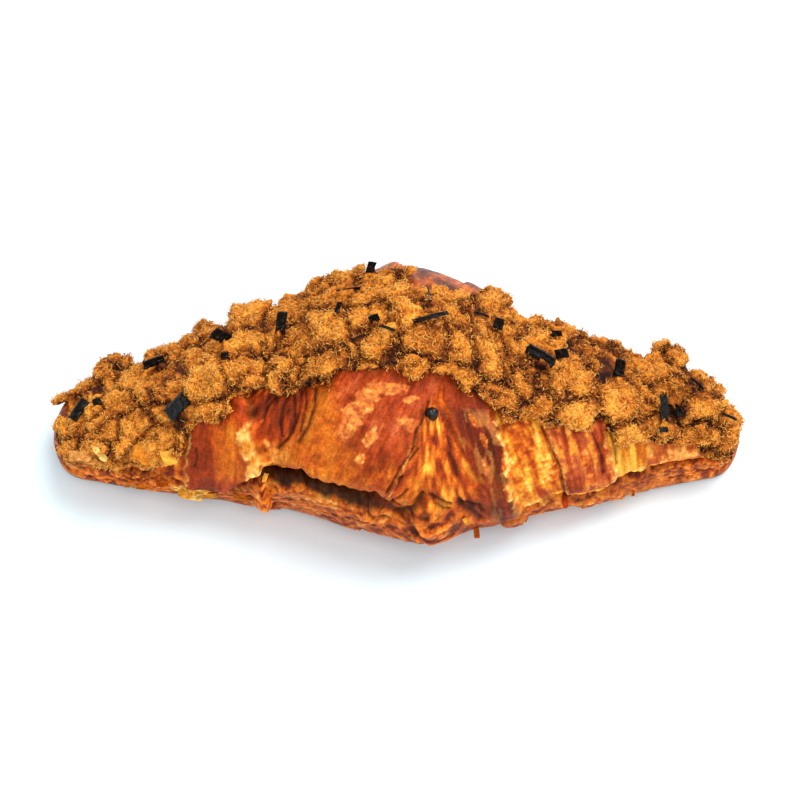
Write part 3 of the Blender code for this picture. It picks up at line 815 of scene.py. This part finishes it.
# Nori flakes: seaweed pressed into thin sheets, roasted and cut into strips and squares, near black and
# glossy. They are strewn over the floss and lie loose on it.
# Each: x in millimetres and angle, length and width in millimetres, turn in degrees
NORI = (
    (-82.1, 83, 6.4, 2.6, 52),
    (-77.3, 87, 2.2, 2.0, 10),
    (-62.7, 114, 5.8, 2.4, 14),
    (-55.6, 69, 6.6, 4.2, 40),
    (-44.6, 112, 6.4, 3.2, -38),
    (-43.7, 96, 2.0, 1.8, 0),
    (-29.4, 114, 6.6, 2.6, 82),
    (-12.9, 118, 7.4, 0.8, 4),
    (-15.0, 107, 2.8, 1.4, 70),
    (-6.7, 132, 3.4, 2.2, 75),
    (-5.7, 97, 2.6, 2.2, 20),
    (-2.2, 91, 4.0, 0.8, -25),
    (8.4, 97, 9.6, 1.2, 18),
    (26.2, 110, 3.2, 2.4, 80),
    (22.0, 109, 4.4, 0.6, -6),
    (36.6, 92, 8.0, 3.2, -24),
    (42.1, 98, 3.4, 2.6, 20),
    (41.2, 114, 2.8, 1.6, 10),
    (57.3, 102, 5.2, 2.6, 84),
    (68.3, 76, 8.0, 1.9, -84),
    (72.3, 76, 2.2, 2.0, 30),
    (68.1, 58, 2.4, 1.4, 10),
    (77.7, 113, 4.6, 0.7, -40),
    (86.0, 81, 4.4, 0.7, -14),
)
SHEET_CELLS = (12, 8)
SHEET_THICK = 0.00016


def sheet(point, first, second, away, long, wide, bend, seed, torn):
    """The points and faces of one thin irregular sheet with a crinkled face and a torn outline."""
    rows, columns = SHEET_CELLS
    p, q = np.meshgrid(np.linspace(-1, 1, rows), np.linspace(-1, 1, columns), indexing="ij")
    flat = np.stack([p * long / 2, q * wide / 2, 0 * p + seed * 0.01], axis=-1)
    torn_long = 1 + torn * rough(flat * [0, 1, 1], 0.0012, seed, 2)
    torn_wide = 1 + torn * rough(flat * [1, 0, 1], 0.0012, seed + 3, 2)
    crinkle = 0.25 * bend * rough(flat, 0.0016, seed + 7, 2) + bend * (0.5 * p * p + 0.25 * q * q - 0.2)
    face = (
        np.array(point)
        + np.array(first) * (p * torn_long * long / 2)[..., None]
        + np.array(second) * (q * torn_wide * wide / 2)[..., None]
        + np.array(away) * crinkle[..., None]
    ).reshape(-1, 3)
    both = np.concatenate([face + np.array(away) * SHEET_THICK, face])
    count = rows * columns
    top = grid_faces(rows, columns)
    faces = [tuple(face) for face in top] + [tuple(face[::-1] + count) for face in top]
    grid = np.arange(count).reshape(rows, columns)
    rim = [*grid[:, 0], *grid[-1, 1:], *grid[-2::-1, -1], *grid[0, -2:0:-1]]
    for here, after in zip(rim, rim[1:] + rim[:1]):
        faces.append((here, here + count, after + count, after))
    return both, faces


def out_of_crust(x, angle):
    """The direction straight out of the crust at a place on it."""
    steps = ((0.003, 0), (-0.003, 0), (0, 5), (0, -5))
    right, left, above, under = (Vector(crust_surface(x + dx, angle + da)) for dx, da in steps)
    return (above - under).normalized().cross((right - left).normalized()).normalized()


NORI_START = 0.005
NORI_RISE = 0.0011
NORI_BEND = 0.5
NORI_TORN = 0.10
TO_CAMERA = -looking
TURN_TO_CAMERA = 1.7
bed_tree = BVHTree.FromObject(bed, bpy.context.evaluated_depsgraph_get())
nori_finish, nori_shader, _ = finish_of("roasted nori", 0.20)
nori_shader.inputs["Base Color"].default_value = (0.0035, 0.0045, 0.004, 1)
nori_shader.inputs["Specular IOR Level"].default_value = 0.28
nori_place = shader_node(nori_finish, "ShaderNodeTexCoord")
nori_noise = shader_node(nori_finish, "ShaderNodeTexNoise")
nori_noise.inputs["Scale"].default_value = 900
nori_finish.node_tree.links.new(nori_place.outputs["Object"], nori_noise.inputs["Vector"])
bumped(nori_finish, nori_shader, [(nori_noise.outputs["Fac"], 1.0)], 0.0006)


def settled(x_mm, angle, long_mm, wide_mm, turn, start_out):
    """Where a small sheet comes to lie on the highest point under it, and its three directions."""
    seen_at = Vector(crust_surface(x_mm * MM, angle, start_out))
    away = (out_of_crust(x_mm * MM, angle) + TO_CAMERA * TURN_TO_CAMERA).normalized()
    along = (Vector((1, 0, 0)) - away * away.x).normalized()
    rising = away.cross(along)
    turned = math.radians(turn)
    first = along * math.cos(turned) + rising * math.sin(turned)
    second = rising * math.cos(turned) - along * math.sin(turned)
    highest = None
    for p, q in ((0, 0), (1, 1), (1, -1), (-1, 1), (-1, -1), (1, 0), (-1, 0)):
        over = seen_at + first * (0.4 * p * long_mm * MM) + second * (0.4 * q * wide_mm * MM)
        hit = bed_tree.ray_cast(over + TO_CAMERA * 0.05, -TO_CAMERA)[0]
        if hit is not None:
            reached = (hit - seen_at).dot(TO_CAMERA)
            highest = reached if highest is None else max(highest, reached)
    spot = seen_at if highest is None else seen_at + TO_CAMERA * highest
    return spot, first, second, away


def all_sheets(rows, start_out, rise, torn, first_seed):
    """Lays down one sheet for each row: where each lies, the points of each and the faces of them all."""
    spots = []
    all_points = []
    all_faces = []
    for number, (x_mm, angle, long_mm, wide_mm, turn, bend_mm) in enumerate(rows):
        spot, first, second, away = settled(x_mm, angle, long_mm, wide_mm, turn, start_out)
        long, wide, bend = long_mm * MM, wide_mm * MM, bend_mm * MM
        raised = spot + away * rise
        points, faces = sheet(raised, first, second, away, long, wide, bend, first_seed + number, torn)
        start = number * len(points)
        all_faces.extend(tuple(int(corner) + start for corner in face) for face in faces)
        all_points.append(points)
        spots.append((spot, first, second, long / 2, wide / 2))
    return spots, all_points, all_faces


nori_rows = [(*row, NORI_BEND) for row in NORI]
nori_spots, nori_points, nori_faces = all_sheets(nori_rows, NORI_START, NORI_RISE, NORI_TORN, 500)
nori = mesh_piece("nori_flakes", np.concatenate(nori_points), nori_faces, nori_finish)

# Loose flakes of crust: paper-thin shards of the outer layer that have lifted or broken off. They cling to
# the left tip, hang from the bottom edge and curl up along the seams.
# Each: x in millimetres and angle, length and width in millimetres, turn, bend in millimetres, colour
FLAKES = (
    (-80.6, 32, 6.0, 3.0, 8, 0.9, TAN),
    (-64.6, 33, 3.6, 5.0, 70, 1.6, AMBER),
    (-57.6, 31, 3.8, 4.4, 20, 1.4, YELLOW),
    (-75.6, 35, 4.8, 1.5, -46, 2.0, CREAM),
    (-78.4, 27, 5.6, 2.2, 4, 1.0, TAN),
    (-69.3, -10, 3.0, 1.8, 20, 0.6, TAN),
    (-65.6, -10, 3.6, 1.6, 18, 0.7, AMBER),
    (-54.4, -4, 3.6, 2.4, -20, 0.8, YELLOW),
    (-51.4, -9, 3.8, 2.0, -12, 0.9, CREAM),
    (-47.6, -12, 3.2, 1.4, 6, 0.6, YELLOW),
    (-60.2, 3, 3.2, 1.8, 10, 0.8, ORANGE),
    (20.4, -14, 4.6, 1.3, -84, 0.8, ORANGE),
    (42.9, -1, 5.4, 1.4, -86, 0.7, RED),
    (61.4, -16, 2.8, 0.9, 86, 0.8, ORANGE),
    (17.4, 1, 3.8, 1.0, -60, 0.8, YELLOW),
    (-39.6, -12, 4.0, 1.2, -6, 0.6, OCHRE),
    (-33.4, 12, 2.6, 1.2, 70, 0.7, YELLOW),
)
FLAKE_START = 0.0007
FLAKE_RISE = 0.0004
FLAKE_TORN = 0.35
flake_rows = [row[:6] for row in FLAKES]
_, flake_points, flake_faces = all_sheets(flake_rows, FLAKE_START, FLAKE_RISE, FLAKE_TORN, 300)
flake_colours = []
for number, points in enumerate(flake_points):
    lift = 0.85 + 0.5 * rough(points, 0.0012, 340 + number, 2)
    flake_colours.append(np.clip(FLAKES[number][-1][None] * lift[:, None], 0, 1))
flakes = mesh_piece("crust_flakes", np.concatenate(flake_points), flake_faces, crust_finish)
paint(flakes, "crust_colour", np.concatenate(flake_colours))
for layer_name in ("dough_place", "grain_place"):
    paint(flakes, layer_name, np.concatenate(flake_points))

# Loose floss fibres: thin curly threads of dried meat, golden on the clumps and darker in the gaps, where
# they take the painted shade of the bed.
# Each is a tapered three-sided thread that springs from the bed and curls back to it.
FIBRE_SEED = 11
LEAST_FACING = 0.35


def thread_mesh(name, roots, normals, lengths, widths, lift, curls, rings, tones, draw):
    """One piece of many threads. Each starts inside the bed and bends round in a plane of its own."""
    count = len(roots)
    helper = draw.normal(size=(count, 3))
    tangent = np.cross(normals, helper)
    tangent /= np.linalg.norm(tangent, axis=1)[:, None]
    across = np.cross(normals, tangent)
    tilt = draw.uniform(-1.0, 1.0, count)[:, None]
    bend_to = normals * np.cos(tilt) + across * np.sin(tilt)
    curl = curls * draw.uniform(0.4, 1.5, count)[:, None]
    curl = curl * draw.choice([-1, 1], count, p=[0.35, 0.65])[:, None]
    start_turn = lift * draw.uniform(-0.2, 1.0, count)[:, None]
    steps = rings + 1
    place = roots - tangent * (lengths * 0.35)[:, None]
    path = [place]
    ahead = []
    for step in range(steps):
        turn = start_turn - curl * (step / steps - 0.4)
        direction = tangent * np.cos(turn) + bend_to * np.sin(turn) + draw.normal(scale=0.22, size=(count, 3))
        direction /= np.linalg.norm(direction, axis=1)[:, None]
        ahead.append(direction)
        place = place + direction * (lengths / steps)[:, None]
        path.append(place)
    points = [path[0]]
    side = np.cross(tangent, bend_to)
    for ring in range(1, steps):
        direction = ahead[ring]
        first = side - direction * (side * direction).sum(1)[:, None]
        first /= np.maximum(np.linalg.norm(first, axis=1), 1e-6)[:, None]
        second = np.cross(direction, first)
        for corner in range(3):
            turn = corner * math.tau / 3
            around = first * math.cos(turn) + second * math.sin(turn)
            points.append(path[ring] + around * widths[:, None] / 2)
    points.append(path[-1])
    per = 2 + 3 * (steps - 1)
    pattern = []
    last = 1 + 3 * (steps - 2)
    for corner in range(3):
        after = (corner + 1) % 3
        pattern.append((0, 1 + after, 1 + corner))
        for ring in range(steps - 2):
            here, there = 1 + 3 * ring, 4 + 3 * ring
            pattern.append((here + corner, here + after, there + after))
            pattern.append((here + corner, there + after, there + corner))
        pattern.append((last + corner, last + after, per - 1))
    faces = (np.array(pattern)[None] + (np.arange(count) * per)[:, None, None]).reshape(-1, 3)
    piece = mesh_piece(name, np.stack(points, axis=1).reshape(-1, 3), faces, thread_finish)
    paint(piece, "thread_colour", np.repeat(tones, per, axis=0))
    return piece


bed.data.calc_loop_triangles()
triangles = points_of(bed.data, "loop_triangles", "vertices")
corners = bed_points[triangles]
face_normal = np.cross(corners[:, 1] - corners[:, 0], corners[:, 2] - corners[:, 0])
face_area = np.linalg.norm(face_normal, axis=1)
face_normal = face_normal / np.maximum(face_area, 1e-12)[:, None]
chance = face_area * (facing_out[triangles].mean(1) > LEAST_FACING)
draw = np.random.default_rng(FIBRE_SEED)


def scatter(count, draw):
    """Random places on the outer side of the bed, with their normals and their triangles."""
    chosen = draw.choice(len(triangles), count, p=chance / chance.sum())
    a, b = draw.random(count), draw.random(count)
    flip = a + b > 1
    a, b = np.where(flip, 1 - a, a), np.where(flip, 1 - b, b)
    first, second, third = corners[chosen].transpose(1, 0, 2)
    place = first * (1 - a - b)[:, None] + second * a[:, None] + third * b[:, None]
    return place, face_normal[chosen], triangles[chosen, 0]


def clear_of_nori(places):
    """Leaves out the places that a flake of nori covers."""
    keep = np.ones(len(places), bool)
    for spot, first, second, half_long, half_wide in nori_spots:
        offset = places - np.array(spot)
        near = np.linalg.norm(offset, axis=1) < half_long + 0.003
        under_long = np.abs(offset @ np.array(first)) < half_long + 0.0004
        under_wide = np.abs(offset @ np.array(second)) < half_wide + 0.0006
        keep &= ~(near & under_long & under_wide)
    return keep


thread_finish, thread_shader, thread_source = finish_of("floss thread", 0.60, "thread_colour")
thread_finish.node_tree.links.new(thread_source.outputs["Color"], thread_shader.inputs["Base Color"])
thread_shader.inputs["Specular IOR Level"].default_value = 0.25

# Name, how many, length and width in millimetres, lift from the bed, curl, rings, and how much brighter
THREAD_KINDS = (
    ("floss_matted", 13500, (0.8, 1.6), (0.17, 0.30), 0.25, 1.6, 2, -0.10),
    ("floss_golden", 13500, (0.8, 1.7), (0.16, 0.28), 0.60, 1.9, 2, 0.05),
    ("floss_curly", 9600, (1.1, 2.3), (0.13, 0.22), 0.80, 2.6, 3, 0.12),
    ("floss_wisps", 7600, (1.3, 2.8), (0.10, 0.16), 1.10, 2.4, 3, 0.16),
)
amount = 1.0
for name, count, lengths_mm, widths_mm, lift, curls, rings, brighter in THREAD_KINDS:
    roots, normals, owners = scatter(int(count * amount), draw)
    keep = clear_of_nori(roots)
    roots, normals, owners = roots[keep], normals[keep], owners[keep]
    # Each thread takes the level of the bed under it, so the painted shade of the gaps carries on to it.
    level = bed_level[owners] + brighter + draw.normal(scale=0.28, size=len(roots))
    tones = shade(level, FLOSS_PIT, FLOSS_DARK, FLOSS_TOAST, FLOSS_GOLD, FLOSS_BRIGHT, FLOSS_PALE)
    lengths = draw.uniform(*lengths_mm, len(roots)) * MM
    widths = draw.uniform(*widths_mm, len(roots)) * MM
    threads = thread_mesh(name, roots, normals, lengths, widths, lift, curls, rings, tones, draw)

# Black ball: one small glossy lump of nori, rolled up by itself. It lies loose on the bare crust, where the
# centre wrap is stretched.
BALL_RADIUS = 0.0016
BALL_PLACE = (0.0089, 54)
ball_finish, ball_shader, _ = finish_of("black ball", 0.20)
ball_shader.inputs["Base Color"].default_value = (0.004, 0.004, 0.004, 1)
ball_shader.inputs["Specular IOR Level"].default_value = 0.28
bpy.ops.mesh.primitive_ico_sphere_add(subdivisions=5, radius=BALL_RADIUS)
ball = bpy.context.object
ball.name = "black_ball"
ball_points = points_of(ball.data)
lobes = 1 + 0.30 * rough(ball_points, 0.0013, 5, 2)
ball_points = ball_points * lobes[:, None] + crust_surface(*BALL_PLACE, BALL_RADIUS * 0.7)
ball.data.vertices.foreach_set("co", ball_points.astype(np.float32).ravel())
ball.data.shade_smooth()
ball.data.materials.append(ball_finish)
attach(ball, "root")
